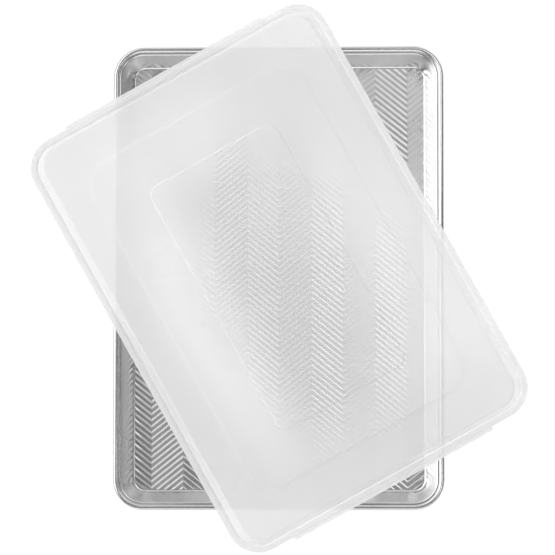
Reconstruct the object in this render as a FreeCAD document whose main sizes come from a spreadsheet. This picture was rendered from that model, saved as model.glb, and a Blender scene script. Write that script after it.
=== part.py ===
import FreeCAD, Part
import math
import os
import Sketcher
from FreeCAD import Vector, Placement, Rotation

# A half size aluminium sheet pan with a zigzag textured floor, the wire its rim
# is curled round, and the one-piece plastic lid that lies on it, turned.
# Millimetres, +Z up. Origin: centre of the pan's underside. X is the pan's short
# side, Y its long side.

doc = FreeCAD.newDocument("SheetPan")
dims = doc.addObject("Spreadsheet::Sheet", "Dims")

SIZES = [
    # pan, outside of the bead
    ("pan_width", 326.0), ("pan_length", 457.0), ("pan_height", 27.0),
    ("pan_corner", 30.0), ("sheet_thick", 0.9),
    # section of the wall, insets measured from the outside of the bead
    ("floor_inset", 20.0), ("floor_round", 3.0),
    ("shoulder_inset", 5.9), ("shoulder_round", 2.4), ("shoulder_drop", 1.4),
    ("bead_radius", 2.5), ("curl_end_drop", 1.06), ("floor_lap", 4.0),
    # wire inside the bead
    ("wire_diameter", 3.1),
    # zigzag ridges pressed into the floor
    ("column_pitch", 31.78), ("zigzag_rise", 25.2), ("ridge_height", 0.5),
    ("ridge_sink", 0.3), ("ridge_band", 1.9), ("row_pitch", 6.06),
    ("row_first", -232.95), ("row_count", 73),
    ("field_reach", 0.5),
    # lid
    ("lid_width", 329.0), ("lid_length", 460.0), ("lid_corner", 31.5),
    ("lid_wall", 1.1), ("lid_turn", 29.2), ("rest_gap", 0.3),
    ("channel_roof", 8.1), ("channel_round", 2.0), ("channel_end", 5.35),
    ("valley_start", 6.75), ("valley_top", 7.2), ("valley_end", 8.6),
    ("tab_reach", 3.7), ("tab_width", 223.0), ("tab_thick", 1.2), ("tab_round", 3.0),
]

# rings of the lid's dome from the valley to the centre panel:
# name, inset on the long sides, inset on the short sides, height, corner radius
RINGS = [
    ("foot", 7.05, 7.20, 6.10, 24.40),
    ("wall", 13.00, 10.30, 22.40, 21.20),
    ("roll_low", 13.50, 10.72, 23.45, 20.80),
    ("roll_mid", 14.35, 11.45, 24.35, 20.45),
    ("roll_high", 15.50, 12.45, 24.95, 20.20),
    ("shoulder", 17.00, 13.80, 25.25, 20.00),
    ("band", 45.40, 47.40, 27.00, 26.20),
    ("step", 47.00, 49.00, 27.85, 25.60),
    ("field", 93.20, 93.80, 28.25, 11.60),
    ("panel", 94.80, 95.40, 29.15, 10.60),
]
for ring, ix, iy, height, radius in RINGS:
    SIZES += [(ring + "_side", ix), (ring + "_end", iy), (ring + "_level", height),
              (ring + "_corner", radius)]

V = {}
for row, (alias, value) in enumerate(SIZES, start=1):
    dims.set("A%d" % row, alias)
    dims.set("B%d" % row, "%.6g" % value)
    dims.setAlias("B%d" % row, alias)
    V[alias] = value
doc.recompute()


def plane_of(body, role):
    for feature in body.Origin.OriginFeatures:
        if feature.Role == role:
            return feature
    raise RuntimeError("no origin plane " + role)


def new_sketch(body, name, role="XY_Plane", level=None):
    sketch = body.newObject("Sketcher::SketchObject", name)
    sketch.AttachmentSupport = [(plane_of(body, role), "")]
    sketch.MapMode = "FlatFace"
    if level:
        sketch.setExpression("AttachmentOffset.Base.z", level)
    return sketch


def line(x0, y0, x1, y1):
    return Part.LineSegment(Vector(x0, y0, 0), Vector(x1, y1, 0))


def arc(cx, cy, radius, start, end):
    circle = Part.Circle(Vector(cx, cy, 0), Vector(0, 0, 1), radius)
    return Part.ArcOfCircle(circle, math.radians(start), math.radians(end))


def bind(sketch, name, constraint, expression):
    index = sketch.addConstraint(constraint)
    sketch.renameConstraint(index, name)
    sketch.setExpression("Constraints." + name, expression)


def rounded_outline(sketch, width, length, corner, width_e, length_e, corner_e, split=False):
    """A rounded rectangle about the origin; split starts it at the middle of the +X side."""
    w, l, r = width / 2.0, length / 2.0, corner
    edges = [line(w, 0.0 if split else -l + r, w, l - r),
             arc(w - r, l - r, r, 0, 90),
             line(w - r, l, -w + r, l),
             arc(-w + r, l - r, r, 90, 180),
             line(-w, l - r, -w, -l + r),
             arc(-w + r, -l + r, r, 180, 270),
             line(-w + r, -l, w - r, -l),
             arc(w - r, -l + r, r, 270, 360)]
    if split:
        edges.append(line(w, -l + r, w, 0.0))
    sketch.addGeometry(edges, False)
    C = Sketcher.Constraint
    joints = [C("Tangent", i, 2, i + 1, 1) for i in range(7)]
    if split:
        joints += [C("Tangent", 7, 2, 8, 1), C("Coincident", 8, 2, 0, 1),
                   C("PointOnObject", 0, 1, -1), C("Vertical", 8)]
    else:
        joints += [C("Tangent", 7, 2, 0, 1)]
    joints += [C("Vertical", 0), C("Vertical", 4), C("Horizontal", 2), C("Horizontal", 6),
               C("Equal", 1, 3), C("Equal", 1, 5), C("Equal", 1, 7),
               C("Symmetric", 1, 3, 5, 3, -1, 1)]
    sketch.addConstraint(joints)
    bind(sketch, "corner", C("Radius", 1, r), corner_e)
    bind(sketch, "width", C("DistanceX", 4, 1, 0, 2, 2 * w), width_e)
    bind(sketch, "length", C("DistanceY", 6, 1, 2, 1, 2 * l), length_e)


def pan_section(sketch):
    """The sheet from the floor's lap up the wall, over the shoulder and round the bead."""
    half = V["pan_width"] / 2.0
    th, ri, rs, rb = V["sheet_thick"], V["floor_round"], V["shoulder_round"], V["bead_radius"]
    top = V["pan_height"]
    crest = top - V["shoulder_drop"]
    fx, fz = half - V["floor_inset"], th + ri
    sx, sz = half - V["shoulder_inset"], crest - rs
    bx, bz = half - rb, top - rb
    # wall line touching the floor round from outside the sheet and the shoulder round
    lo, hi = 0.5, 1.5
    for _ in range(80):
        a = (lo + hi) / 2.0
        gap = (sx - fx) - ((ri + rs) * math.sin(a) + (sz - fz + (ri + rs) * math.cos(a)) / math.tan(a))
        lo, hi = (a, hi) if gap < 0 else (lo, a)
    a = (lo + hi) / 2.0
    deg = math.degrees(a)
    drop = V["curl_end_drop"]
    end = 180.0 + math.degrees(math.asin(drop / rb))
    crease = 540.0 - math.degrees(math.asin((crest - bz) / rb))
    inner = 540.0 - math.degrees(math.asin((crest - th - bz) / (rb - th)))

    def on(cx, cz, radius, angle):
        return (cx + radius * math.cos(math.radians(angle)), cz + radius * math.sin(math.radians(angle)))

    lap = half - V["floor_inset"] - V["floor_lap"]
    p2, p3 = on(fx, fz, ri, 270 + deg), on(sx, sz, rs, 90 + deg)
    q2, q3 = on(fx, fz, ri + th, 270 + deg), on(sx, sz, rs - th, 90 + deg)
    c_out, c_in = on(bx, bz, rb, crease), on(bx, bz, rb - th, inner)
    e_out, e_in = on(bx, bz, rb, end), on(bx, bz, rb - th, end)
    sketch.addGeometry([
        line(lap, th, fx, th),                                # 0 floor top
        arc(fx, fz, ri, 270, 270 + deg),                      # 1 floor round
        line(p2[0], p2[1], p3[0], p3[1]),                     # 2 wall, inside
        arc(sx, sz, rs, 90, 90 + deg),                        # 3 shoulder
        line(sx, crest, c_out[0], crest),                     # 4 flange top
        arc(bx, bz, rb, end, crease),                         # 5 bead, outside
        line(e_out[0], e_out[1], e_in[0], e_in[1]),           # 6 cut edge of the sheet
        arc(bx, bz, rb - th, end, inner),                     # 7 bead, inside
        line(c_in[0], crest - th, sx, crest - th),            # 8 flange underside
        arc(sx, sz, rs - th, 90, 90 + deg),                   # 9 shoulder, under
        line(q3[0], q3[1], q2[0], q2[1]),                     # 10 wall, outside
        arc(fx, fz, ri + th, 270, 270 + deg),                 # 11 floor round, under
        line(fx, 0.0, lap, 0.0),                              # 12 floor underside
        line(lap, 0.0, lap, th),                              # 13 lap end
    ], False)
    C = Sketcher.Constraint
    sketch.addConstraint([
        C("Coincident", 13, 2, 0, 1), C("Coincident", 12, 2, 13, 1),
        C("Tangent", 0, 2, 1, 1), C("Tangent", 1, 2, 2, 1), C("Tangent", 2, 2, 3, 2),
        C("Tangent", 3, 1, 4, 1), C("Coincident", 4, 2, 5, 2), C("Coincident", 5, 1, 6, 1),
        C("Coincident", 6, 2, 7, 1), C("Coincident", 7, 2, 8, 1), C("Tangent", 8, 2, 9, 1),
        C("Tangent", 9, 2, 10, 1), C("Tangent", 10, 2, 11, 2), C("Tangent", 11, 1, 12, 1),
        C("Coincident", 9, 3, 3, 3), C("Coincident", 11, 3, 1, 3), C("Coincident", 7, 3, 5, 3),
        C("Horizontal", 0), C("Horizontal", 4), C("Horizontal", 8), C("Horizontal", 12),
        C("Vertical", 13), C("PointOnObject", 5, 3, 6),
    ])
    bind(sketch, "floor_round", C("Radius", 1, ri), "Dims.floor_round")
    bind(sketch, "floor_round_under", C("Radius", 11, ri + th), "Dims.floor_round + Dims.sheet_thick")
    bind(sketch, "shoulder_round", C("Radius", 3, rs), "Dims.shoulder_round")
    bind(sketch, "shoulder_under", C("Radius", 9, rs - th), "Dims.shoulder_round - Dims.sheet_thick")
    bind(sketch, "bead_outside", C("Radius", 5, rb), "Dims.bead_radius")
    bind(sketch, "bead_inside", C("Radius", 7, rb - th), "Dims.bead_radius - Dims.sheet_thick")
    bind(sketch, "floor_edge", C("DistanceX", -1, 1, 1, 3, fx), "Dims.pan_width / 2 - Dims.floor_inset")
    bind(sketch, "floor_top", C("DistanceY", -1, 1, 1, 1, th), "Dims.sheet_thick")
    bind(sketch, "shoulder_at", C("DistanceX", -1, 1, 3, 3, sx), "Dims.pan_width / 2 - Dims.shoulder_inset")
    bind(sketch, "shoulder_level", C("DistanceY", -1, 1, 3, 1, crest), "Dims.pan_height - Dims.shoulder_drop")
    bind(sketch, "bead_at", C("DistanceX", -1, 1, 5, 3, bx), "Dims.pan_width / 2 - Dims.bead_radius")
    bind(sketch, "bead_level", C("DistanceY", -1, 1, 5, 3, bz), "Dims.pan_height - Dims.bead_radius")
    bind(sketch, "lap_at", C("DistanceX", -1, 1, 0, 1, lap), "Dims.pan_width / 2 - Dims.floor_inset - Dims.floor_lap")
    bind(sketch, "curl_end", C("DistanceY", 5, 1, 5, 3, drop), "Dims.curl_end_drop")


def pipe(body, name, path, section):
    feature = body.newObject("PartDesign::AdditivePipe", name)
    feature.Profile = section
    feature.Spine = path
    doc.recompute()
    return feature


# ---------------------------------------------------------------- pan: pressed sheet
shell = doc.addObject("PartDesign::Body", "shell_body")
floor_sketch = new_sketch(shell, "floor_outline")
rounded_outline(floor_sketch, V["pan_width"] - 2 * V["floor_inset"] - V["floor_lap"],
                V["pan_length"] - 2 * V["floor_inset"] - V["floor_lap"],
                V["pan_corner"] - V["floor_inset"] - V["floor_lap"] / 2,
                "Dims.pan_width - 2 * Dims.floor_inset - Dims.floor_lap",
                "Dims.pan_length - 2 * Dims.floor_inset - Dims.floor_lap",
                "Dims.pan_corner - Dims.floor_inset - Dims.floor_lap / 2")
floor_pad = shell.newObject("PartDesign::Pad", "floor_sheet")
floor_pad.Profile = floor_sketch
floor_pad.setExpression("Length", "Dims.sheet_thick")
doc.recompute()
path = new_sketch(shell, "rim_path")
rounded_outline(path, V["pan_width"], V["pan_length"], V["pan_corner"],
                "Dims.pan_width", "Dims.pan_length", "Dims.pan_corner", split=True)
section = new_sketch(shell, "wall_section", "XZ_Plane")
pan_section(section)
wall_pipe = pipe(shell, "wall_and_bead", path, section)

# ---------------------------------------------------------------- pan: zigzag ridges
rows = doc.addObject("PartDesign::Body", "ridge_rows")
if hasattr(rows, "AllowCompound"):
    rows.AllowCompound = True
zig = new_sketch(rows, "zigzag", level="Dims.sheet_thick - Dims.ridge_sink")
stations = [(-4.5, 0.5), (-4, 0), (-3, 1), (-2, 0), (-1, 1), (0, 0),
            (1, 1), (2, 0), (3, 1), (4, 0), (4.5, 0.5)]
loop = [(k, c, -0.5) for k, c in stations] + [(k, c, 0.5) for k, c in reversed(stations)]
points = [(k * V["column_pitch"], V["row_first"] + c * V["zigzag_rise"] + s * V["ridge_band"])
          for k, c, s in loop]
count = len(points)
zig.addGeometry([line(points[i][0], points[i][1], points[(i + 1) % count][0], points[(i + 1) % count][1])
                 for i in range(count)], False)
zig.addConstraint([Sketcher.Constraint("Coincident", i, 2, (i + 1) % count, 1) for i in range(count)])
for i, (k, c, s) in enumerate(loop):
    if k == 0:
        zig.addConstraint(Sketcher.Constraint("PointOnObject", i, 1, -2))
    else:
        bind(zig, "across_%d" % i, Sketcher.Constraint("DistanceX", -1, 1, i, 1, points[i][0]),
             "Dims.column_pitch * %g" % k)
    bind(zig, "along_%d" % i, Sketcher.Constraint("DistanceY", -1, 1, i, 1, points[i][1]),
         "Dims.row_first + Dims.zigzag_rise * %g + Dims.ridge_band * %g" % (c, s))
row_pad = rows.newObject("PartDesign::Pad", "ridge_row")
row_pad.Profile = zig
row_pad.setExpression("Length", "Dims.ridge_sink + Dims.ridge_height")
doc.recompute()
repeat = rows.newObject("PartDesign::LinearPattern", "ridge_repeat")
repeat.Originals = [row_pad]
repeat.Direction = (zig, ["V_Axis"])
repeat.setExpression("Length", "Dims.row_pitch * (Dims.row_count - 1)")
repeat.setExpression("Occurrences", "Dims.row_count")
rows.Tip = repeat
doc.recompute()

field = doc.addObject("PartDesign::Body", "field_limit")
field_sketch = new_sketch(field, "field_outline")
rounded_outline(field_sketch, V["pan_width"] - 2 * V["floor_inset"] + 2 * V["field_reach"],
                V["pan_length"] - 2 * V["floor_inset"] + 2 * V["field_reach"],
                V["pan_corner"] - V["floor_inset"] + V["field_reach"],
                "Dims.pan_width - 2 * Dims.floor_inset + 2 * Dims.field_reach",
                "Dims.pan_length - 2 * Dims.floor_inset + 2 * Dims.field_reach",
                "Dims.pan_corner - Dims.floor_inset + Dims.field_reach")
field_pad = field.newObject("PartDesign::Pad", "field_block")
field_pad.Profile = field_sketch
field_pad.setExpression("Length", "Dims.sheet_thick + Dims.ridge_height + 1")
doc.recompute()

ridges = doc.addObject("Part::Common", "ridges")
ridges.Base = rows
ridges.Tool = field
pan_shell = doc.addObject("Part::Fuse", "pan_shell_fuse")
pan_shell.Base = shell
pan_shell.Tool = ridges
pan_shell.Label = "pan_shell"
doc.recompute()

# ---------------------------------------------------------------- wire in the bead
wire_body = doc.addObject("PartDesign::Body", "wire_body")
wire_path = new_sketch(wire_body, "wire_path", level="Dims.pan_height - Dims.bead_radius")
rounded_outline(wire_path, V["pan_width"] - 2 * V["bead_radius"], V["pan_length"] - 2 * V["bead_radius"],
                V["pan_corner"] - V["bead_radius"],
                "Dims.pan_width - 2 * Dims.bead_radius", "Dims.pan_length - 2 * Dims.bead_radius",
                "Dims.pan_corner - Dims.bead_radius", split=True)
wire_section = new_sketch(wire_body, "wire_section", "XZ_Plane")
wx, wz = V["pan_width"] / 2 - V["bead_radius"], V["pan_height"] - V["bead_radius"]
wire_section.addGeometry([Part.Circle(Vector(wx, wz, 0), Vector(0, 0, 1), V["wire_diameter"] / 2)], False)
bind(wire_section, "wire_at", Sketcher.Constraint("DistanceX", -1, 1, 0, 3, wx),
     "Dims.pan_width / 2 - Dims.bead_radius")
bind(wire_section, "wire_level", Sketcher.Constraint("DistanceY", -1, 1, 0, 3, wz),
     "Dims.pan_height - Dims.bead_radius")
bind(wire_section, "wire_size", Sketcher.Constraint("Diameter", 0, V["wire_diameter"]), "Dims.wire_diameter")
pipe(wire_body, "wire_ring", wire_path, wire_section)
wire_body.Label = "rim_wire"

# ---------------------------------------------------------------- lid
lid = doc.addObject("PartDesign::Body", "lid_body")
lid_path = new_sketch(lid, "lid_path")
rounded_outline(lid_path, V["lid_width"], V["lid_length"], V["lid_corner"],
                "Dims.lid_width", "Dims.lid_length", "Dims.lid_corner", split=True)
edge = new_sketch(lid, "edge_section", "XZ_Plane")
half = V["lid_width"] / 2
wall, roof, ro = V["lid_wall"], V["channel_roof"], V["channel_round"]
slope_in = 0.15
shape = [
    (0.0, 0.0), (0.0, roof - ro), (ro, roof), (V["channel_end"], roof), (V["valley_start"], V["valley_top"]),
    (V["valley_end"], V["valley_top"]), (V["valley_end"], V["valley_top"] - wall),
    (V["valley_start"] - slope_in, V["valley_top"] - wall), (V["channel_end"] - slope_in, roof - wall),
    (ro, roof - wall), (wall, roof - ro), (wall, 0.0)]
pt = [(half - u, z) for u, z in shape]
edge.addGeometry([
    line(*pt[0], *pt[1]),                        # 0 skirt outside
    arc(half - ro, roof - ro, ro, 0, 90),        # 1 edge round
    line(*pt[2], *pt[3]),                        # 2 roof of the channel
    line(*pt[3], *pt[4]),                        # 3 down to the valley
    line(*pt[4], *pt[5]),                        # 4 valley
    line(*pt[5], *pt[6]),                        # 5 lap end
    line(*pt[6], *pt[7]),                        # 6 under the valley
    line(*pt[7], *pt[8]),                        # 7 under the slope
    line(*pt[8], *pt[9]),                        # 8 ceiling of the channel
    arc(half - ro, roof - ro, ro - wall, 0, 90), # 9 inner round
    line(*pt[10], *pt[11]),                      # 10 skirt inside
    line(*pt[11], *pt[0]),                       # 11 skirt foot
], False)
C = Sketcher.Constraint
edge.addConstraint([
    C("Tangent", 0, 2, 1, 1), C("Tangent", 1, 2, 2, 1), C("Coincident", 2, 2, 3, 1),
    C("Coincident", 3, 2, 4, 1), C("Coincident", 4, 2, 5, 1), C("Coincident", 5, 2, 6, 1),
    C("Coincident", 6, 2, 7, 1), C("Coincident", 7, 2, 8, 1), C("Tangent", 8, 2, 9, 2),
    C("Tangent", 9, 1, 10, 1), C("Coincident", 10, 2, 11, 1), C("Coincident", 11, 2, 0, 1),
    C("Vertical", 0), C("Horizontal", 2), C("Horizontal", 4), C("Vertical", 5), C("Horizontal", 6),
    C("Horizontal", 8), C("Vertical", 10), C("PointOnObject", 0, 1, -1), C("PointOnObject", 11, 1, -1),
    C("Coincident", 9, 3, 1, 3), C("Parallel", 3, 7),
])
bind(edge, "edge_round", C("Radius", 1, ro), "Dims.channel_round")
bind(edge, "inner_round", C("Radius", 9, ro - wall), "Dims.channel_round - Dims.lid_wall")
bind(edge, "outside_at", C("DistanceX", -1, 1, 0, 1, half), "Dims.lid_width / 2")
bind(edge, "roof_level", C("DistanceY", -1, 1, 2, 1, roof), "Dims.channel_roof")
bind(edge, "roof_end", C("DistanceX", -1, 1, 2, 2, pt[3][0]), "Dims.lid_width / 2 - Dims.channel_end")
bind(edge, "valley_from", C("DistanceX", -1, 1, 4, 1, pt[4][0]), "Dims.lid_width / 2 - Dims.valley_start")
bind(edge, "valley_level", C("DistanceY", -1, 1, 4, 1, V["valley_top"]), "Dims.valley_top")
bind(edge, "valley_to", C("DistanceX", -1, 1, 4, 2, pt[5][0]), "Dims.lid_width / 2 - Dims.valley_end")
bind(edge, "valley_under", C("DistanceY", -1, 1, 6, 1, V["valley_top"] - wall), "Dims.valley_top - Dims.lid_wall")
bind(edge, "slope_back", C("DistanceX", 3, 2, 7, 1, slope_in), "Dims.lid_wall * 0.15 / 1.1")
pipe(lid, "edge_channel", lid_path, edge)


def ring_sketches(tag, offset):
    """One outline per ring; offset moves each by that many walls along its inward normal."""
    made = []
    for i, (ring, ix, iy, level, corner) in enumerate(RINGS):
        before, after = RINGS[max(i - 1, 0)], RINGS[min(i + 1, len(RINGS) - 1)]
        normals = []
        for axis in (1, 2):
            parts = []
            for a, b in ((before, RINGS[i]), (RINGS[i], after)):
                run, rise = b[axis] - a[axis], b[3] - a[3]
                size = math.hypot(run, rise)
                if size > 0:
                    parts.append((rise / size, -run / size))
            if i == len(RINGS) - 1:
                parts.append((0.0, -1.0))
            nx = sum(p[0] for p in parts) / len(parts)
            nz = sum(p[1] for p in parts) / len(parts)
            # mitred offset of the two neighbouring faces
            scale = nx * nx + nz * nz
            normals.append((nx / scale, nz / scale))
        (sx, sz1), (sy, sz2) = normals
        nz = (sz1 + sz2) / 2.0
        kx, ky, kz = offset * sx, offset * sy, offset * nz
        if offset and i == 0:
            # carry the inner face down past the underside of the valley
            nxt = RINGS[1]
            kz -= 1.0
            slope_x = (nxt[1] - ix) / (nxt[3] - level)
            slope_y = (nxt[2] - iy) / (nxt[3] - level)
            kx += slope_x * (kz * 1.0)
            ky += slope_y * (kz * 1.0)
            kx += offset * 0.02
        wall_mm = V["lid_wall"]
        kc = 0.5 * (kx + ky)
        width = V["lid_width"] - 2 * (ix + kx * wall_mm)
        length = V["lid_length"] - 2 * (iy + ky * wall_mm)
        radius = corner - kc * wall_mm
        sk = new_sketch(lid, "%s_%s" % (tag, ring),
                        level="Dims.%s_level + Dims.lid_wall * (%.5f)" % (ring, kz))
        rounded_outline(
            sk, width, length, radius,
            "Dims.lid_width - 2 * (Dims.%s_side + Dims.lid_wall * (%.5f))" % (ring, kx),
            "Dims.lid_length - 2 * (Dims.%s_end + Dims.lid_wall * (%.5f))" % (ring, ky),
            "Dims.%s_corner - Dims.lid_wall * (%.5f)" % (ring, kc))
        made.append(sk)
    return made


outer = ring_sketches("outer", 0.0)
inner = ring_sketches("inner", 1.0)
dome = lid.newObject("PartDesign::AdditiveLoft", "dome")
dome.Profile = outer[0]
dome.Sections = outer[1:]
dome.Ruled = True
doc.recompute()
hollow = lid.newObject("PartDesign::SubtractiveLoft", "hollow")
hollow.Profile = inner[0]
hollow.Sections = inner[1:]
hollow.Ruled = True
doc.recompute()

tab = new_sketch(lid, "tab_outline")
tw, ty0, ty1, tr = V["tab_width"] / 2, V["lid_length"] / 2 - 0.6, V["lid_length"] / 2 + V["tab_reach"], V["tab_round"]
tab.addGeometry([
    line(-tw, ty0, tw, ty0), line(tw, ty0, tw, ty1 - tr), arc(tw - tr, ty1 - tr, tr, 0, 90),
    line(tw - tr, ty1, -tw + tr, ty1), arc(-tw + tr, ty1 - tr, tr, 90, 180), line(-tw, ty1 - tr, -tw, ty0)], False)
tab.addConstraint([
    C("Coincident", 0, 2, 1, 1), C("Tangent", 1, 2, 2, 1), C("Tangent", 2, 2, 3, 1), C("Tangent", 3, 2, 4, 1),
    C("Tangent", 4, 2, 5, 1), C("Coincident", 5, 2, 0, 1), C("Vertical", 1),
    C("Horizontal", 3), C("Vertical", 5), C("Equal", 2, 4), C("Symmetric", 0, 1, 0, 2, -2)])
bind(tab, "tab_round", C("Radius", 2, tr), "Dims.tab_round")
bind(tab, "tab_width", C("DistanceX", 0, 1, 0, 2, 2 * tw), "Dims.tab_width")
bind(tab, "tab_root", C("DistanceY", -1, 1, 0, 1, ty0), "Dims.lid_length / 2 - 0.6 * Dims.lid_wall / 1.1")
bind(tab, "tab_edge", C("DistanceY", -1, 1, 3, 1, ty1), "Dims.lid_length / 2 + Dims.tab_reach")
tab_pad = lid.newObject("PartDesign::Pad", "tab")
tab_pad.Profile = tab
tab_pad.setExpression("Length", "Dims.tab_thick")
doc.recompute()
tab_pair = lid.newObject("PartDesign::Mirrored", "tab_pair")
tab_pair.Originals = [tab_pad]
tab_pair.MirrorPlane = (plane_of(lid, "XZ_Plane"), [""])
lid.Tip = tab_pair
lid.Label = "lid"
lid.Placement = Placement(Vector(0, 0, V["pan_height"] + V["rest_gap"]), Rotation(Vector(0, 0, 1), V["lid_turn"]))
lid.setExpression("Placement.Base.z", "Dims.pan_height + Dims.rest_gap")
lid.setExpression("Placement.Rotation.Angle", "Dims.lid_turn")
doc.recompute()

# ---------------------------------------------------------------- checks and export
for obj in doc.Objects:
    if "Invalid" in obj.State or "Error" in obj.State:
        raise RuntimeError("%s: %s" % (obj.Name, obj.State))

os.makedirs("parts", exist_ok=True)
for obj in (pan_shell, wire_body, lid):
    shp = obj.Shape
    if shp.isNull() or not shp.isValid() or len(shp.Solids) != 1:
        raise RuntimeError("%s: null, not valid or %d solids" % (obj.Label, len(shp.Solids)))
    shp.exportStep("parts/%s.step" % obj.Label)
    box = shp.BoundBox
    print(obj.Label, "faces", len(shp.Faces), "volume", round(shp.Volume, 1),
          "box", [round(v, 2) for v in (box.XMin, box.YMin, box.ZMin, box.XMax, box.YMax, box.ZMax)])
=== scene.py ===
import bpy
import bmesh
import math
from mathutils import Vector, Matrix, noise


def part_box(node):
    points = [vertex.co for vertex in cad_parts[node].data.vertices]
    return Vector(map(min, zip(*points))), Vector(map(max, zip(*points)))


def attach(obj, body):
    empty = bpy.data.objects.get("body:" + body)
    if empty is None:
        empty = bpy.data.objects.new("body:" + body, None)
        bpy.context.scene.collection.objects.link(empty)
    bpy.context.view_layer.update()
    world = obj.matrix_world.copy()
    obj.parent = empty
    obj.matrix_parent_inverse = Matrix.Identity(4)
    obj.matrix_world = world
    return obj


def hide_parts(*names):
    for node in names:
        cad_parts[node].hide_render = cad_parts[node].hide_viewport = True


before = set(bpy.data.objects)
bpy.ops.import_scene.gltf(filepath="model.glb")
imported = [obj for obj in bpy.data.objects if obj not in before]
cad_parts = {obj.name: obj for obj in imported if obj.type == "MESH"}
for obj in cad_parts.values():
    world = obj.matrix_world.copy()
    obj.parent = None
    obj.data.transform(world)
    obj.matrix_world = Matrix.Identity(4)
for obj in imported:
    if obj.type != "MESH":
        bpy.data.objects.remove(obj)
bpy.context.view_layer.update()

MM = 0.001
pan_lo, pan_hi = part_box("pan_shell")
PAN_W = (pan_hi[0] - pan_lo[0]) / MM
PAN_L = (pan_hi[1] - pan_lo[1]) / MM
PAN_H = (pan_hi[2] - pan_lo[2]) / MM
PAN_R = 30.0
SHEET = 0.9
lid_lo, lid_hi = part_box("lid")
LID_W, LID_L, LID_R, LID_TURN = 329.0, 460.0, 31.5, 29.2
LID_Z = lid_lo[2] / MM


# ------------------------------------------------------------------ small helpers
def arc(cx, cz, r, a0, a1, n):
    return [(cx + r * math.cos(math.radians(a0 + (a1 - a0) * i / n)),
             cz + r * math.sin(math.radians(a0 + (a1 - a0) * i / n))) for i in range(n + 1)]


def wave(x, y, size, seed):
    """Slow unevenness, -1..1."""
    return noise.noise(Vector((x / size + seed * 7.3, y / size - seed * 3.1, seed * 1.7)))


def mesh_object(name, bm, mats, angle=32.0):
    mesh = bpy.data.meshes.new(name)
    bm.to_mesh(mesh)
    bm.free()
    for v in mesh.vertices:
        v.co *= MM
    for m in mats:
        mesh.materials.append(m)
    mesh.shade_smooth()
    mesh.set_sharp_from_angle(angle=math.radians(angle))
    obj = bpy.data.objects.new(name, mesh)
    bpy.context.scene.collection.objects.link(obj)
    return obj


# ------------------------------------------------------------------ node helpers
def new_material(name):
    mat = bpy.data.materials.new(name)
    mat.use_nodes = True
    nt = mat.node_tree
    nt.nodes.clear()
    out = nt.nodes.new("ShaderNodeOutputMaterial")
    return mat, nt, out


def node(nt, kind, **values):
    n = nt.nodes.new(kind)
    for key, value in values.items():
        if key in n.inputs:
            n.inputs[key].default_value = value
        else:
            setattr(n, key, value)
    return n


def coords(nt, scale=(1, 1, 1), rotation=(0, 0, 0)):
    tc = nt.nodes.new("ShaderNodeTexCoord")
    mp = nt.nodes.new("ShaderNodeMapping")
    mp.inputs["Scale"].default_value = scale
    mp.inputs["Rotation"].default_value = rotation
    nt.links.new(tc.outputs["Object"], mp.inputs["Vector"])
    return mp.outputs["Vector"]


def noise_tex(nt, vector, scale, detail=4.0, rough=0.55, distortion=0.0):
    n = nt.nodes.new("ShaderNodeTexNoise")
    n.inputs["Scale"].default_value = scale
    n.inputs["Detail"].default_value = detail
    n.inputs["Roughness"].default_value = rough
    n.inputs["Distortion"].default_value = distortion
    nt.links.new(vector, n.inputs["Vector"])
    return n.outputs["Fac"]


def remap(nt, socket, lo, hi, to_lo, to_hi):
    n = nt.nodes.new("ShaderNodeMapRange")
    n.inputs["From Min"].default_value = lo
    n.inputs["From Max"].default_value = hi
    n.inputs["To Min"].default_value = to_lo
    n.inputs["To Max"].default_value = to_hi
    nt.links.new(socket, n.inputs["Value"])
    return n.outputs["Result"]


def ramp(nt, socket, stops):
    n = nt.nodes.new("ShaderNodeValToRGB")
    els = n.color_ramp.elements
    while len(els) < len(stops):
        els.new(0.5)
    for el, (pos, col) in zip(els, stops):
        el.position = pos
        el.color = (*col, 1.0)
    nt.links.new(socket, n.inputs["Fac"])
    return n.outputs["Color"]


def math_node(nt, op, a, b):
    n = nt.nodes.new("ShaderNodeMath")
    n.operation = op
    for i, value in enumerate((a, b)):
        if isinstance(value, (int, float)):
            n.inputs[i].default_value = value
        else:
            nt.links.new(value, n.inputs[i])
    return n.outputs[0]


def math_node_v(nt, op, a, b):
    n = nt.nodes.new("ShaderNodeVectorMath")
    n.operation = op
    nt.links.new(a, n.inputs[0])
    n.inputs[1].default_value = b
    return n.outputs[0]


def bump(nt, height, strength, distance, normal=None):
    n = nt.nodes.new("ShaderNodeBump")
    n.inputs["Strength"].default_value = strength
    n.inputs["Distance"].default_value = distance
    nt.links.new(height, n.inputs["Height"])
    if normal is not None:
        nt.links.new(normal, n.inputs["Normal"])
    return n.outputs["Normal"]


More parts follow.
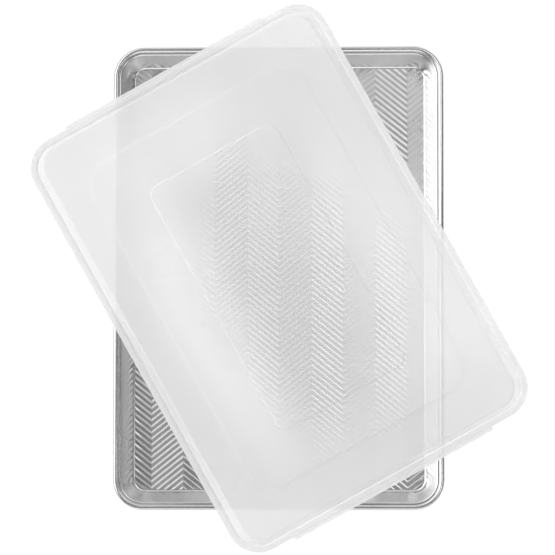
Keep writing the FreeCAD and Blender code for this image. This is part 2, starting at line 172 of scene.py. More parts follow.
def aluminium(name, tint_lo, tint_hi, rough_lo, rough_hi, grain=(1, 1, 1), grain_depth=0.00001,
              scratch=0.35, dent=0.15):
    """Rolled aluminium sheet: drawn grain, fine scratches, slow staining and dents."""
    mat, nt, out = new_material(name)
    bsdf = node(nt, "ShaderNodeBsdfPrincipled")
    bsdf.inputs["Metallic"].default_value = 1.0
    bsdf.inputs["Anisotropic"].default_value = 0.0
    nt.links.new(bsdf.outputs[0], out.inputs["Surface"])
    plain = coords(nt)
    drawn = coords(nt, scale=grain)
    cloud = noise_tex(nt, plain, 16.0, 5.0, 0.6)
    speck = noise_tex(nt, plain, 300.0, 2.0, 0.5)
    fibre = noise_tex(nt, drawn, 900.0, 4.0, 0.7)
    # colour: slow staining and a fine speckle
    mixed = math_node(nt, "ADD", math_node(nt, "MULTIPLY", cloud, 0.65),
                      math_node(nt, "MULTIPLY", speck, 0.2))
    mixed = math_node(nt, "ADD", mixed, math_node(nt, "MULTIPLY", fibre, 0.15))
    nt.links.new(ramp(nt, mixed, [(0.30, tint_lo), (0.70, tint_hi)]), bsdf.inputs["Base Color"])
    # roughness: cloud, fibre and thin rubbed lines
    rub_v = coords(nt, scale=(1.0, 14.0, 1.0), rotation=(0, 0, 0.9))
    rub = noise_tex(nt, rub_v, 60.0, 6.0, 0.75, 0.4)
    rub_line = remap(nt, rub, 0.60, 0.72, 0.0, 1.0)
    rough = math_node(nt, "ADD", remap(nt, math_node(nt, "ADD", math_node(nt, "MULTIPLY", cloud, 0.6),
                                                     math_node(nt, "MULTIPLY", fibre, 0.4)),
                                       0.3, 0.7, rough_lo, rough_hi),
                      math_node(nt, "MULTIPLY", rub_line, 0.06))
    nt.links.new(rough, bsdf.inputs["Roughness"])
    # bump: grain, scratches, shallow dents
    n1 = bump(nt, noise_tex(nt, plain, 55.0, 2.0, 0.4), dent, 0.0006)
    n2 = bump(nt, fibre, 0.5, grain_depth, n1)
    n3 = bump(nt, rub_line, scratch, 0.000008, n2)
    nt.links.new(n3, bsdf.inputs["Normal"])
    return mat


MAT_FLOOR = aluminium("pan_floor_aluminium", (0.68, 0.68, 0.68), (0.80, 0.80, 0.80), 0.25, 0.32,
                      grain=(2.0, 0.08, 1.0), grain_depth=0.000006, dent=0.08)
MAT_WALL = aluminium("pan_wall_aluminium", (0.77, 0.77, 0.77), (0.86, 0.86, 0.86), 0.20, 0.27,
                     grain=(0.04, 0.04, 0.55), grain_depth=0.000022, dent=0.05)
MAT_RIM = aluminium("pan_rim_aluminium", (0.72, 0.72, 0.72), (0.84, 0.84, 0.84), 0.20, 0.30,
                    grain=(0.04, 0.04, 0.8), grain_depth=0.00001, dent=0.03)


# ------------------------------------------------------------------ pan
def pan_stations():
    """Points of the bead's outside with outward normals, counter-clockwise from the +X side."""
    w, l, r = PAN_W / 2, PAN_L / 2, PAN_R
    out = []
    corners = [((w - r, l - r), 0), ((-w + r, l - r), 90), ((-w + r, -l + r), 180), ((w - r, -l + r), 270)]
    for side, ((cx, cy), a0) in enumerate(corners):
        n0 = Vector((math.cos(math.radians(a0)), math.sin(math.radians(a0)), 0))
        start = Vector((cx, cy, 0)) + n0 * r
        length = 2 * (l - r) if side % 2 == 0 else 2 * (w - r)
        back = Vector((n0.y, -n0.x, 0))
        steps = max(2, int(length / 12))
        for i in range(steps):
            out.append((2 * side + i / steps, start + back * length * (1 - i / steps), n0.copy()))
        arcs = 28
        for i in range(arcs):
            a = math.radians(a0 + 90.0 * i / arcs)
            n = Vector((math.cos(a), math.sin(a), 0))
            out.append((2 * side + 1 + i / arcs, Vector((cx, cy, 0)) + n * r, n))
    return out


def path_place(x, y):
    """How far round the outline a point near it lies, 0..8, the same measure as pan_stations."""
    w, l = PAN_W / 2 - PAN_R, PAN_L / 2 - PAN_R
    if abs(y) <= l and abs(x) > w:
        return (y + l) / (2 * l) if x > 0 else 4 + (l - y) / (2 * l)
    if abs(x) <= w and abs(y) > l:
        return 2 + (w - x) / (2 * w) if y > 0 else 6 + (x + w) / (2 * w)
    sx, sy = (1 if x > 0 else -1), (1 if y > 0 else -1)
    a = math.degrees(math.atan2(y - sy * l, x - sx * w)) % 360
    base = {(1, 1): 0, (-1, 1): 90, (-1, -1): 180, (1, -1): 270}[(sx, sy)]
    return {(1, 1): 1, (-1, 1): 3, (-1, -1): 5, (1, -1): 7}[(sx, sy)] + min(max((a - base) / 90.0, 0.0), 1.0)


def pan_profile():
    """Section of the sheet as (inset, height, zone) from the floor's edge to the curl's end and back."""
    th, ri, rs, rb, drop = SHEET, 3.0, 2.4, 2.5, 1.4
    top = PAN_H
    crest = top - drop
    fu, fz = 20.0, th + ri
    su, sz = 5.9, crest - rs
    bu, bz = rb, top - rb
    lo, hi = 0.5, 1.5
    for _ in range(80):
        a = (lo + hi) / 2
        gap = (fu - su) - ((ri + rs) * math.sin(a) + (sz - fz + (ri + rs) * math.cos(a)) / math.tan(a))
        lo, hi = (a, hi) if gap < 0 else (lo, a)
    deg = math.degrees((lo + hi) / 2)
    # heights are worked in x = -inset
    pts = []

    def add(points, zone):
        for x, z in points:
            if not pts or math.hypot(pts[-1][0] + x, pts[-1][1] - z) > 1e-4:
                pts.append((-x, z, zone))

    start = math.degrees(math.asin(0.8 / ri))
    add(arc(-fu, fz, ri, 270 + start, 270 + deg, 9), 1)
    p3 = arc(-su, sz, rs, 90 + deg, 90, 9)
    p2 = (-pts[-1][0], pts[-1][1])
    add([(p2[0] + (p3[0][0] - p2[0]) * i / 9, p2[1] + (p3[0][1] - p2[1]) * i / 9) for i in range(1, 9)], 1)
    add(p3, 2)
    ca = 180 - math.degrees(math.asin((crest - bz) / rb))
    cx = -bu + rb * math.cos(math.radians(ca))
    add([(cx - 0.45, crest), (cx - 0.18, crest + 0.02)], 2)
    end = -(180 - math.degrees(math.asin(1.06 / rb)))
    add(arc(-bu, bz, rb, ca - 6, end, 44), 2)
    # rounded cut edge of the sheet, then the inside of the curl
    e = math.radians(end)
    mid = (-bu + (rb - th / 2) * math.cos(e), bz + (rb - th / 2) * math.sin(e))
    add([(mid[0] + math.sin(-e) * -0.12, mid[1] + 0.12)], 2)
    ia = 180 - math.degrees(math.asin((crest - th - bz) / (rb - th)))
    add(arc(-bu, bz, rb - th, end, ia, 34), 2)
    add([(-su, crest - th)], 2)
    add(arc(-su, sz, rs - th, 90, 90 + deg, 7), 1)
    q3 = (-pts[-1][0], pts[-1][1])
    low = arc(-fu, fz, ri + th, 270 + deg, 270, 9)
    add([(q3[0] + (low[0][0] - q3[0]) * i / 9, q3[1] + (low[0][1] - q3[1]) * i / 9) for i in range(1, 9)], 1)
    add(low, 1)
    return pts


PITCH_X, RISE, PITCH_Y, ROW_FIRST = 31.78, 25.2, 6.06, -232.95
SLANT = RISE / PITCH_X
COS_SLANT = 1 / math.hypot(1, SLANT)


def zigzag(x):
    k = abs(x) / PITCH_X
    f = k % 2.0
    return RISE * (f if f <= 1 else 2 - f)


def field(bm, outline_inset, base, height, half_width, under):
    """The floor's surface with its ridges, trimmed to the outline; returns its edge loop in order."""
    w, l, r = PAN_W / 2 - outline_inset, PAN_L / 2 - outline_inset, PAN_R - outline_inset
    part = bmesh.new()
    xs = []
    marks = [-4.56, -4, -3, -2, -1, 0, 1, 2, 3, 4, 4.56]
    for a, b in zip(marks, marks[1:]):
        steps = 4 if abs(b - a) > 0.6 else 2
        xs += [(a + (b - a) * i / steps) * PITCH_X for i in range(steps)]
        # a narrow column each side of a fold keeps the folds crisp
        xs += [(a + 0.014) * PITCH_X, (b - 0.014) * PITCH_X]
    xs.sort()
    xs.append(marks[-1] * PITCH_X)
    # heights across one ridge; the wave is continuous where the ridges meet
    steps = 14
    shape = [(-1 + 2 * i / steps, 0.5 + 0.5 * math.cos(math.pi * (-1 + 2 * i / steps))) for i in range(steps + 1)]
    meets = 2 * half_width / COS_SLANT > PITCH_Y - 0.05
    rows = []
    for i in range(73 + 1):
        centre = ROW_FIRST + i * PITCH_Y
        for s, h in shape[:-1] if meets else shape:
            rows.append((centre + s * half_width / COS_SLANT, h))
        if not meets:
            rows.append((centre + PITCH_Y / 2, 0.0))
    grid = []
    for v, h in rows:
        line = []
        for x in xs:
            y = v + zigzag(x)
            lift = 0.92 + 0.08 * wave(x, y, 35.0, 2 + under)
            line.append(part.verts.new((x, y, base + h * height * lift)))
        grid.append(line)
    for a, b in zip(grid, grid[1:]):
        for j in range(len(xs) - 1):
            quad = (a[j], a[j + 1], b[j + 1], b[j])
            part.faces.new(quad if not under else quad[::-1])
    # trim to the rounded outline, side by side
    cuts = [((w, 0), (1, 0)), ((-w, 0), (-1, 0)), ((0, l), (0, 1)), ((0, -l), (0, -1))]
    arcs = 10
    for sx in (1, -1):
        for sy in (1, -1):
            cx, cy = sx * (w - r), sy * (l - r)
            for i in range(arcs):
                a = math.radians(90.0 * (i + 0.5) / arcs)
                nx, ny = sx * math.cos(a), sy * math.sin(a)
                rr = r * math.cos(math.radians(45.0 / arcs))
                cuts.append(((cx + nx * rr, cy + ny * rr), (nx, ny)))
    for (px, py), (nx, ny) in cuts:
        bmesh.ops.bisect_plane(part, geom=part.verts[:] + part.edges[:] + part.faces[:], dist=1e-4,
                               plane_co=(px, py, 0), plane_no=(nx, ny, 0), clear_outer=True)
    bmesh.ops.remove_doubles(part, verts=part.verts, dist=1e-3)
    # ordered edge loop
    part.verts.ensure_lookup_table()
    edge_verts = [v for v in part.verts if v.is_boundary]
    start = edge_verts[0]
    loop, prev, cur = [start], None, start
    while True:
        options = [e.other_vert(cur) for e in cur.link_edges if e.is_boundary]
        options = [o for o in options if o is not prev]
        step = options[0]
        if step is start:
            break
        loop.append(step)
        prev, cur = cur, step
    area = sum(a.co.x * b.co.y - b.co.x * a.co.y for a, b in zip(loop, loop[1:] + loop[:1]))
    if area < 0:
        loop.reverse()
    made = {v: bm.verts.new(v.co) for v in part.verts}
    for f in part.faces:
        bm.faces.new([made[v] for v in f.verts]).material_index = 0
    ordered = [made[v] for v in loop]
    part.free()
    return ordered


def stitch(bm, ring, loop, flip, material):
    """Triangles between a regular ring (with places) and a ragged loop inside it."""
    places = [(path_place(v.co.x, v.co.y), v) for v in loop]
    k = min(range(len(places)), key=lambda i: places[i][0])
    places = places[k:] + places[:k]
    outer = ring + [(8.0 + ring[0][0], ring[0][1])]
    inner = places + [(8.0 + places[0][0], places[0][1])]
    i = j = 0
    while i < len(outer) - 1 or j < len(inner) - 1:
        take_outer = j >= len(inner) - 1 or (i < len(outer) - 1 and outer[i + 1][0] <= inner[j + 1][0])
        if take_outer:
            tri = (outer[i][1], outer[i + 1][1], inner[j][1])
            i += 1
        else:
            tri = (outer[i][1], inner[j + 1][1], inner[j][1])
            j += 1
        f = bm.faces.new(tri if not flip else tri[::-1])
        f.material_index = material


def build_pan():
    bm = bmesh.new()
    top_loop = field(bm, 19.6, SHEET, 0.5, PITCH_Y * COS_SLANT / 2, 0)
    low_loop = field(bm, 20.5, 0.0, 0.34, 1.7, 1)
    profile = pan_profile()
    stations = pan_stations()
    rings = []
    for u, z, zone in profile:
        ring = []
        for place, base, n in stations:
            p = base - n * u
            # the pressed walls are not quite flat
            depth = min(max((z - 2.0) / 8.0, 0.0), 1.0) * min(max((PAN_H - 3.0 - z) / 8.0, 0.0), 1.0)
            p = p + n * (0.16 * depth * wave(base.x + z, base.y - z, 46.0, 11))
            ring.append((place, bm.verts.new((p.x, p.y, z))))
        rings.append(ring)
    count = len(stations)
    for (a, za), (b, zb) in zip(zip(rings, profile), list(zip(rings, profile))[1:]):
        for i in range(count):
            j = (i + 1) % count
            f = bm.faces.new((a[i][1], b[i][1], b[j][1], a[j][1]))
            f.material_index = max(za[2], zb[2]) if za[2] == zb[2] else 2
    stitch(bm, rings[0], top_loop, False, 0)
    stitch(bm, rings[-1], low_loop, True, 0)
    bmesh.ops.recalc_face_normals(bm, faces=bm.faces)
    return mesh_object("pan_sheet", bm, [MAT_FLOOR, MAT_WALL, MAT_RIM])


pan = build_pan()
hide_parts("pan_shell")
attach(pan, "pan")


# ------------------------------------------------------------------ wire
def steel():
    mat, nt, out = new_material("rim_wire_steel")
    bsdf = node(nt, "ShaderNodeBsdfPrincipled")
    bsdf.inputs["Metallic"].default_value = 1.0
    nt.links.new(bsdf.outputs[0], out.inputs["Surface"])
    v = coords(nt)
    spangle = nt.nodes.new("ShaderNodeTexVoronoi")
    spangle.inputs["Scale"].default_value = 260.0
    nt.links.new(v, spangle.inputs["Vector"])
    nt.links.new(ramp(nt, spangle.outputs["Distance"], [(0.0, (0.42, 0.43, 0.44)), (1.0, (0.62, 0.62, 0.63))]),
                 bsdf.inputs["Base Color"])
    fine = noise_tex(nt, v, 700.0, 4.0, 0.6)
    nt.links.new(remap(nt, fine, 0.3, 0.7, 0.30, 0.5), bsdf.inputs["Roughness"])
    nt.links.new(bump(nt, fine, 0.4, 0.00002), bsdf.inputs["Normal"])
    return mat



MAT_WIRE = steel()
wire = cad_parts["rim_wire"]
for slot in wire.material_slots:
    slot.material = MAT_WIRE


# ------------------------------------------------------------------ lid
def lid_plastic():
    mat, nt, out = new_material("lid_polypropylene")
    v = coords(nt)
    cloud = noise_tex(nt, v, 9.0, 3.0, 0.5)
    pebble = noise_tex(nt, v, 1500.0, 2.0, 0.5)
    rub_v = coords(nt, scale=(1.0, 18.0, 1.0), rotation=(0, 0, 0.35))
    rub = remap(nt, noise_tex(nt, rub_v, 40.0, 6.0, 0.75, 0.3), 0.62, 0.74, 0.0, 1.0)
    fine = bump(nt, pebble, 0.35, 0.00002)
    normal = bump(nt, rub, 0.25, 0.00001, fine)

    def light_and_haze_patch(centre, size, turn):
        """A soft oval patch of the sheet, 1 in its middle and 0 at its edge."""
        tc = nt.nodes.new("ShaderNodeTexCoord")
        mp = nt.nodes.new("ShaderNodeMapping")
        mp.vector_type = "TEXTURE"
        mp.inputs["Location"].default_value = (centre[0] * MM, centre[1] * MM, 0.0)
        mp.inputs["Rotation"].default_value = (0, 0, math.radians(turn))
        mp.inputs["Scale"].default_value = (size[0] * MM, size[1] * MM, 10.0)
        nt.links.new(tc.outputs["Object"], mp.inputs["Vector"])
        g = nt.nodes.new("ShaderNodeTexGradient")
        g.gradient_type = "SPHERICAL"
        nt.links.new(mp.outputs["Vector"], g.inputs["Vector"])
        r = nt.nodes.new("ShaderNodeMapRange")
        r.interpolation_type = "SMOOTHERSTEP"
        nt.links.new(g.outputs["Fac"], r.inputs["Value"])
        return r.outputs["Result"]

    # soft oval patches of painted light and shade in the sheet's whiteness: lighter along one long side, at the far
    # end and on one side, painted shade at the near corner and in the middle; the middle is also made more
    # see-through and that long side less
    lit_and_cloudier_side = light_and_haze_patch((-72, -40), (72, 250), LID_TURN)
    tone = math_node(nt, "ADD", math_node(nt, "MULTIPLY", cloud, 0.12), 0.5)
    for patch, share in ((lit_and_cloudier_side, 0.5),
                         (light_and_haze_patch((22, -50), (105, 190), LID_TURN), -0.43),
                         (light_and_haze_patch((-98, 134), (120, 85), LID_TURN), 0.4),
                         (light_and_haze_patch((84, 64), (65, 150), LID_TURN), 0.2),
                         (light_and_haze_patch((183, -133), (150, 90), LID_TURN), -0.4)):
        tone = math_node(nt, "ADD", tone, math_node(nt, "MULTIPLY", patch, share))
    window = remap(nt, light_and_haze_patch((12, -11), (150, 235), LID_TURN), 0.0, 0.5, 0.0, 1.0)
    # painted highlight: the sharp bends are made whiter, standing in for glints along the creases
    geo = nt.nodes.new("ShaderNodeNewGeometry")
    bend_highlight = remap(nt, geo.outputs["Pointiness"], 0.505, 0.56, 0.0, 1.0)
    tone = math_node(nt, "ADD", tone, math_node(nt, "MULTIPLY", bend_highlight, 0.6))
    # painted light: steep walls are made whiter, as if lit from the side; further down they are also made less
    # see-through and more translucent
    tcn = nt.nodes.new("ShaderNodeTexCoord")
    parts = nt.nodes.new("ShaderNodeSeparateXYZ")
    nt.links.new(tcn.outputs["Normal"], parts.inputs[0])
    flat = math_node(nt, "ABSOLUTE", parts.outputs["Z"], 0.0)
    steep = remap(nt, flat, 0.55, 0.97, 1.0, 0.0)
    tone = math_node(nt, "ADD", tone, math_node(nt, "MULTIPLY", steep, 0.7))
    bsdf = node(nt, "ShaderNodeBsdfPrincipled")
    bsdf.inputs["IOR"].default_value = 1.49
    shade = nt.nodes.new("ShaderNodeVectorMath")
    shade.operation = "SCALE"
    nt.links.new(ramp(nt, tone, [(0.0, (0.68, 0.68, 0.68)), (0.5, (0.79, 0.79, 0.79)), (1.0, (0.93, 0.93, 0.93))]),
                 shade.inputs[0])
    # painted light: the base colour is made up to 12% whiter in the see-through middle
    nt.links.new(remap(nt, window, 0.0, 1.0, 1.0, 1.12), shade.inputs["Scale"])
    nt.links.new(math_node_v(nt, "MINIMUM", shade.outputs[0], (0.97, 0.97, 0.97)), bsdf.inputs["Base Color"])
    nt.links.new(math_node(nt, "ADD", remap(nt, cloud, 0.3, 0.7, 0.26, 0.33), math_node(nt, "MULTIPLY", rub, 0.06)),
                 bsdf.inputs["Roughness"])
    nt.links.new(normal, bsdf.inputs["Normal"])
    through = node(nt, "ShaderNodeBsdfTranslucent")
    through.inputs["Color"].default_value = (0.87, 0.87, 0.87, 1.0)
    nt.links.new(normal, through.inputs["Normal"])
    body = node(nt, "ShaderNodeMixShader")
    nt.links.new(math_node(nt, "ADD", remap(nt, cloud, 0.3, 0.7, 0.21, 0.27), math_node(nt, "MULTIPLY", steep, 0.12)),
                 body.inputs["Fac"])
    nt.links.new(bsdf.outputs[0], body.inputs[1])
    nt.links.new(through.outputs[0], body.inputs[2])
    clear = node(nt, "ShaderNodeBsdfTransparent")
    clear.inputs["Color"].default_value = (0.985, 0.985, 0.985, 1.0)
    mix = node(nt, "ShaderNodeMixShader")
    cover = math_node(nt, "ADD", remap(nt, window, 0.0, 1.0, 0.64, 0.43), math_node(nt, "MULTIPLY", lit_and_cloudier_side, 0.08))
    cover = math_node(nt, "ADD", cover, math_node(nt, "MULTIPLY", steep, 0.1))
    nt.links.new(cover, mix.inputs["Fac"])
    nt.links.new(clear.outputs[0], mix.inputs[1])
    nt.links.new(body.outputs[0], mix.inputs[2])
    nt.links.new(mix.outputs[0], out.inputs["Surface"])
    return mat


def rounded_keys(keys):
    """Key points (long-side inset, short-side inset, height, corner radius, reach, steps) with eased corners."""
    out = []
    for i, key in enumerate(keys):
        p = Vector(key[:4])
        reach, steps = key[4], key[5]
        if reach <= 0 or i in (0, len(keys) - 1):
            out.append(p)
            continue
        a, c = Vector(keys[i - 1][:4]), Vector(keys[i + 1][:4])
        ta = min(reach / max((p - a).length, 1e-6), 0.49)
        tc = min(reach / max((c - p).length, 1e-6), 0.49)
        pa, pc = p + (a - p) * ta, p + (c - p) * tc
        for k in range(steps + 1):
            t = k / steps
            out.append(pa * (1 - t) ** 2 + p * 2 * t * (1 - t) + pc * t * t)
    return out


def fill_long(points, longest):
    """Adds points on long runs so the shell can be slightly uneven there."""
    out = [points[0]]
    for a, b in zip(points, points[1:]):
        n = max(1, int((b - a).length / longest))
        out += [a + (b - a) * (k / n) for k in range(1, n + 1)]
    return out


def lid_loop_shape():
    """Places round a rounded rectangle: (x factor, y factor) of the straight half sizes and a corner angle."""
    marks_short = [0.0, 0.28, 0.56, 0.8158, 0.824, 0.8316, 0.8361, 0.8383, 0.8385, 0.93]
    marks_long = [i / 12 for i in range(12)]
    arcs = 22
    out = []

    def corner(sx, sy, a0):
        return [(sx, sy, math.radians(a0 + 90.0 * i / arcs)) for i in range(arcs + 1)]

    up = sorted(set([-m for m in marks_long] + marks_long))
    wide = sorted(set([-m for m in marks_short] + marks_short))
    out += [(1, m, 0.0) for m in up]
    out += corner(1, 1, 0)
    out += [(-m, 1, math.radians(90)) for m in wide]
    out += corner(-1, 1, 90)
    out += [(-1, -m, math.radians(180)) for m in up]
    out += corner(-1, -1, 180)
    out += [(m, -1, math.radians(270)) for m in wide]
    out += corner(1, -1, 270)
    return out


TAB_HALF, TAB_REACH, TAB_ROUND = 111.5, 3.7, 3.0


def tab_push(x):
    ax = abs(x)
    if ax <= TAB_HALF - TAB_ROUND:
        return TAB_REACH
    if ax <= TAB_HALF + 0.01:
        return TAB_REACH - TAB_ROUND + math.sqrt(max(TAB_ROUND ** 2 - (ax - TAB_HALF + TAB_ROUND) ** 2, 0.0))
    return 0.0


def lid_ring(bm, shape, p, tab):
    ix, iy, z, r = p
    hw, hl = LID_W / 2 - ix, LID_L / 2 - iy
    r = max(min(r, hw, hl), 0.05)
    verts = []
    for fx, fy, a in shape:
        x = fx * (hw - r) + r * math.cos(a)
        y = fy * (hl - r) + r * math.sin(a)
        if tab and abs(fy) == 1 and abs(fx) < 1:
            y += math.copysign(tab_push(x) * tab, y)
        lift = 0.0
        inset = min(LID_W / 2 - abs(x), LID_L / 2 - abs(y))
        if inset > 17:
            lift = 0.22 * wave(x, y, 70.0, 3) * min((inset - 17) / 15.0, 1.0)
        verts.append(bm.verts.new((x, y, z + lift)))
    return verts


def build_lid():
    bm = bmesh.new()
    shape = lid_loop_shape()
    outer_keys = [
        (0.18, 0.18, 0.0, 31.3, 0, 1), (0.0, 0.0, 0.18, 31.5, 0, 1),
        (0.0, 0.0, 8.1, 31.5, 2.0, 8), (5.35, 5.35, 8.1, 26.2, 0.9, 5), (6.75, 6.75, 7.2, 24.8, 0.6, 4),
        (7.40, 7.40, 7.2, 24.1, 0.3, 3), (14.00, 10.80, 25.10, 20.4, 2.7, 9),
        (44.20, 46.20, 26.93, 26.7, 2.2, 7), (48.20, 50.20, 27.87, 25.1, 2.2, 7),
        (93.40, 94.00, 28.23, 11.5, 0.5, 4), (94.60, 95.20, 29.15, 10.7, 0.5, 4),
        (162.0, 162.6, 29.10, 1.0, 0, 1)]
    inner_keys = [
        (0.92, 0.92, 0.0, 30.6, 0, 1), (1.1, 1.1, 0.18, 30.4, 0, 1),
        (1.1, 1.1, 7.0, 30.4, 0.9, 6), (5.2, 5.2, 7.0, 26.3, 0.6, 4), (6.6, 6.6, 6.1, 24.9, 0.5, 4),
        (8.15, 8.25, 6.1, 23.4, 0.4, 3), (14.75, 11.60, 24.00, 19.8, 1.7, 7),
        (45.90, 47.90, 25.93, 25.8, 0.6, 4), (47.50, 49.50, 26.76, 25.2, 0.6, 4),
        (93.70, 94.30, 27.15, 11.2, 0.6, 4), (95.30, 95.90, 28.05, 10.2, 0.6, 4),
        (162.0, 162.6, 28.00, 1.0, 0, 1)]
    outer = rounded_keys(outer_keys)
    # the tab is the lowest part of the skirt pushed out
    head = [(0.18, 0.18, 0.0, 31.3, 1.0), (0.0, 0.0, 0.18, 31.5, 1.0), (0.0, 0.0, 1.02, 31.5, 1.0),
            (0.18, 0.18, 1.2, 31.5, 1.0), (0.0, 0.0, 1.2, 31.5, 0.10), (0.0, 0.0, 1.35, 31.5, 0.0)]
    outer_pts = [(Vector(h[:4]), h[4]) for h in head]
    # the lip's top keeps the skirt's own face where there is no tab
    outer_pts[3] = (Vector((0.0, 0.0, 1.2, 31.5)), 0.95)
    outer_pts += [(p, 0.0) for p in fill_long(outer[2:], 9.0)]
    inner_pts = [(p, 0.0) for p in fill_long(rounded_keys(inner_keys), 9.0)]
    ring_out = [lid_ring(bm, shape, p, tab) for p, tab in outer_pts]
    ring_in = [lid_ring(bm, shape, p, tab) for p, tab in inner_pts]
    count = len(shape)

    def skin(a, b):
        for i in range(count):
            j = (i + 1) % count
            quad = [a[i], a[j], b[j], b[i]]
            bm.faces.new(quad)

    for a, b in zip(ring_out, ring_out[1:]):
        skin(a, b)
    for a, b in zip(ring_in, ring_in[1:]):
        skin(b, a)
    skin(ring_in[0], ring_out[0])
    bm.faces.new(ring_out[-1])
    bm.faces.new(ring_in[-1][::-1])
    bmesh.ops.remove_doubles(bm, verts=bm.verts, dist=1e-4)
    bmesh.ops.dissolve_degenerate(bm, edges=bm.edges, dist=1e-4)
    bmesh.ops.recalc_face_normals(bm, faces=bm.faces)
    turn = Matrix.Translation((0, 0, LID_Z)) @ Matrix.Rotation(math.radians(LID_TURN), 4, "Z")
    bmesh.ops.transform(bm, matrix=turn, verts=bm.verts)
    return mesh_object("lid_shell", bm, [lid_plastic()], angle=40.0)


lid = build_lid()
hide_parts("lid")
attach(lid, "lid")
lid.visible_shadow = False
lid.visible_glossy = False
lid.visible_diffuse = False


# ------------------------------------------------------------------ floor, light, camera
def stage_material():
    mat, nt, out = new_material("studio_floor")
    bsdf = node(nt, "ShaderNodeBsdfPrincipled")
    bsdf.inputs["Base Color"].default_value = (0.93, 0.93, 0.93, 1.0)
    bsdf.inputs["Roughness"].default_value = 0.9
    bsdf.inputs["Specular IOR Level"].default_value = 0.1
    white = nt.nodes.new("ShaderNodeEmission")
    white.inputs["Strength"].default_value = 1.02
    path = nt.nodes.new("ShaderNodeLightPath")
    mix = node(nt, "ShaderNodeMixShader")
    nt.links.new(path.outputs["Is Camera Ray"], mix.inputs["Fac"])
    nt.links.new(bsdf.outputs[0], mix.inputs[1])
    nt.links.new(white.outputs[0], mix.inputs[2])
    nt.links.new(mix.outputs[0], out.inputs["Surface"])
    return mat


bpy.ops.mesh.primitive_plane_add(size=12.0, location=(0, 0, -0.0002))
floor = bpy.context.object
floor.name = "studio_floor"
floor.data.materials.append(stage_material())


def area_light(name, place, aim, size_x, size_y, power):
    data = bpy.data.lights.new(name, "AREA")
    data.shape = "RECTANGLE"
    data.size, data.size_y = size_x, size_y
    data.energy = power
    obj = bpy.data.objects.new(name, data)
    obj.location = place
    obj.rotation_euler = (Vector(aim) - Vector(place)).to_track_quat("-Z", "Y").to_euler()
    bpy.context.scene.collection.objects.link(obj)
    return obj


# a ceiling of soft panels: place, brightness
PANELS = [(0.0, -0.72, 0.739),
          (0.36, -0.36, 0.171),
          (0.72, -0.36, 2.752),
          (-0.36, 0.0, 0.945),
          (0.36, 0.0, 0.333),
          (0.0, 0.36, 0.178),
          (0.36, 0.36, 1.83),
          (0.72, 0.36, 1.072),
          (-0.72, 0.72, 0.991),
          (0.0, 0.72, 0.358),
          (0.36, 0.72, 0.692),
          (0.72, 0.72, 0.66)]
for px, py, bright in PANELS:
    panel = area_light("ceiling_panel", (px, py, 1.0), (px, py, 0.0), 0.36, 0.36, math.pi * 0.1296 * bright)
    panel.visible_camera = False

# strip lights that only reach the lid: azimuth, brightness
lid_only = bpy.data.collections.new("lid_light")
lid_only.objects.link(lid)
for azimuth, bright in [(29.2, 8.0), (119.2, 6.5), (209.2, 9.0), (299.2, 4.0)]:
    a, e = math.radians(azimuth), math.radians(25.0)
    place = Vector((math.cos(a) * math.cos(e), math.sin(a) * math.cos(e), math.sin(e))) * 1.5
    strip = area_light("strip", place, (0, 0, 0), 1.4, 0.12, math.pi * 0.168 * bright)
    strip.visible_camera = False
    strip.visible_glossy = False
    strip.light_linking.receiver_collection = lid_only

world = bpy.data.worlds.new("studio")
bpy.context.scene.world = world
world.use_nodes = True
wn = world.node_tree
wn.nodes.clear()
wout = wn.nodes.new("ShaderNodeOutputWorld")
bg = wn.nodes.new("ShaderNodeBackground")
bg.inputs["Color"].default_value = (1.0, 1.0, 1.0, 1.0)
wtc = wn.nodes.new("ShaderNodeTexCoord")


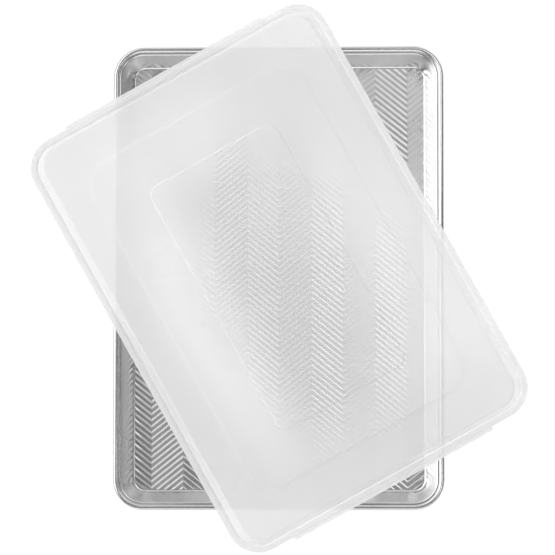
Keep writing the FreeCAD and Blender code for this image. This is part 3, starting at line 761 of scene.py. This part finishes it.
def soft_box(azimuth, height, radiance, edge, core):
    """A broad soft light far away in one direction; edge and core are angles from its middle."""
    a, e = math.radians(azimuth), math.radians(height)
    dot = wn.nodes.new("ShaderNodeVectorMath")
    dot.operation = "DOT_PRODUCT"
    dot.inputs[1].default_value = (math.cos(a) * math.cos(e), math.sin(a) * math.cos(e), math.sin(e))
    wn.links.new(wtc.outputs["Generated"], dot.inputs[0])
    step = wn.nodes.new("ShaderNodeMapRange")
    step.interpolation_type = "SMOOTHSTEP"
    step.inputs["From Min"].default_value = math.cos(math.radians(edge))
    step.inputs["From Max"].default_value = math.cos(math.radians(core))
    step.inputs["To Max"].default_value = radiance
    wn.links.new(dot.outputs["Value"], step.inputs["Value"])
    return step.outputs["Result"]


# soft boxes round the table: azimuth, elevation, brightness, edge, core
total = 0.1
for box in [(45.0, 36.0, 0.466, 30, 8),
            (135.0, 36.0, 1.366, 30, 8),
            (180.0, 36.0, 2.623, 30, 8),
            (225.0, 36.0, 0.135, 30, 8),
            (315.0, 36.0, 0.344, 30, 8),
            (90.0, 10.0, 0.711, 40, 10),
            (270.0, 10.0, 1.181, 40, 10)]:
    total = math_node(wn, "ADD", total, soft_box(*box))
wpath = wn.nodes.new("ShaderNodeLightPath")
seen = wn.nodes.new("ShaderNodeMix")
wn.links.new(wpath.outputs["Is Camera Ray"], seen.inputs[0])
wn.links.new(total, seen.inputs[2])
seen.inputs[3].default_value = 1.02
wn.links.new(seen.outputs[0], bg.inputs["Strength"])
wn.links.new(bg.outputs[0], wout.inputs["Surface"])

TILT_X, TILT_Y, REACH = math.radians(2.4), math.radians(-2.9), 3.04
cam_data = bpy.data.cameras.new("camera")
cam = bpy.data.objects.new("camera", cam_data)
bpy.context.scene.collection.objects.link(cam)
aim = Vector((0.0, 0.0, PAN_H * MM))
offset = Vector((math.tan(TILT_X), math.tan(TILT_Y), 1.0)).normalized() * REACH
cam.location = aim + offset
forward = (aim - cam.location).normalized()
right = forward.cross(Vector((0, 1, 0))).normalized()
up = right.cross(forward).normalized()
cam.matrix_world = Matrix((
    (right.x, up.x, -forward.x, cam.location.x),
    (right.y, up.y, -forward.y, cam.location.y),
    (right.z, up.z, -forward.z, cam.location.z),
    (0, 0, 0, 1)))
cam_data.sensor_width = 36.0
cam_data.lens = 36.0 * REACH / (555.0 / 1.015 * MM)
cam_data.clip_start, cam_data.clip_end = 0.05, 20.0
cam_data.shift_x = -0.8 / 555.0
cam_data.shift_y = 0.0
bpy.context.scene.camera = cam
bpy.context.scene.view_settings.view_transform = "Standard"
bpy.context.scene.view_settings.look = "None"
